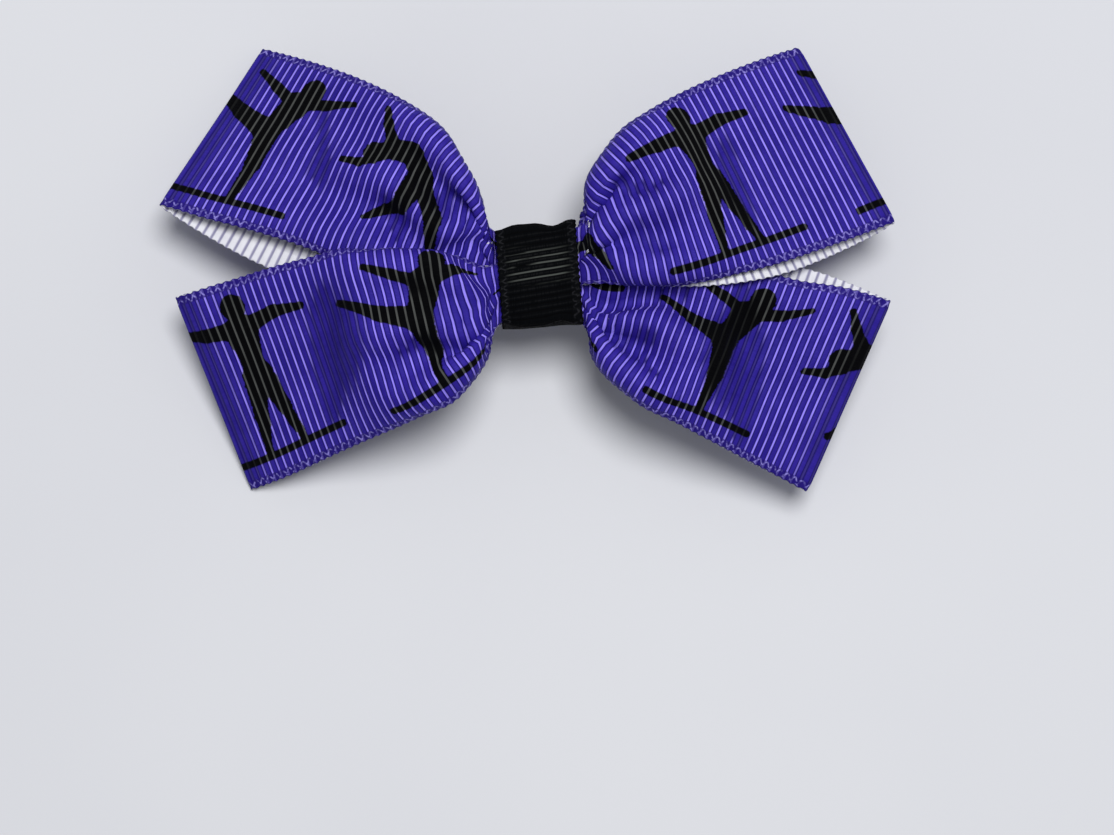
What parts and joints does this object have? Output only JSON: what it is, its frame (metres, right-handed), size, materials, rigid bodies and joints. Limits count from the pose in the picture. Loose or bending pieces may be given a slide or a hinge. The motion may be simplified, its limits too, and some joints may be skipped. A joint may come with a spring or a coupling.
{
  "type": "cheer hair bow",
  "caption": "Small hair bow of two crossed printed ribbon loops with a narrow centre wrap, glued to a sprung alligator hair clip.",
  "frame": {"origin": "centre of the bounding box, at the level of the table the bow lies on", "axes": "+Z out of the bow's front, +X to the bow's right as seen from the front, +Y to its top"},
  "size_m": [0.0804, 0.0484, 0.0176],
  "materials": {
    "printed_ribbon": "ribbed grosgrain, satin sheen",
    "black_ribbon": "ribbed grosgrain",
    "thread": "twisted thread",
    "glue": "translucent hot glue",
    "clip_steel": "nickel plated"
  },
  "bodies": {
    "bow": {"front_ribbon": "printed_ribbon", "rear_ribbon": "printed_ribbon", "front_seam_glue": "glue", "rear_seam_glue": "glue", "binding_thread": "thread", "centre_wrap": "black_ribbon", "wrap_end_glue": "glue", "bow_to_clip_glue": "glue", "clip_lining": "black_ribbon", "clip_top_jaw": "clip_steel", "hinge_pin": "clip_steel", "clip_spring": "clip_steel"},
    "lever": {"clip_bottom_jaw": "clip_steel"}
  },
  "joints": [
    {"name": "jaw_opens", "type": "hinge", "parent": "bow", "child": "lever", "pos_m": [0.00922, -0.0007, 0.0065], "axis": [0, -1, 0], "range_deg": [0, 30], "stiffness_Nm_per_rad": 0.04, "springref_deg": -57.3, "deforming": ["clip_spring"]}
  ]
}
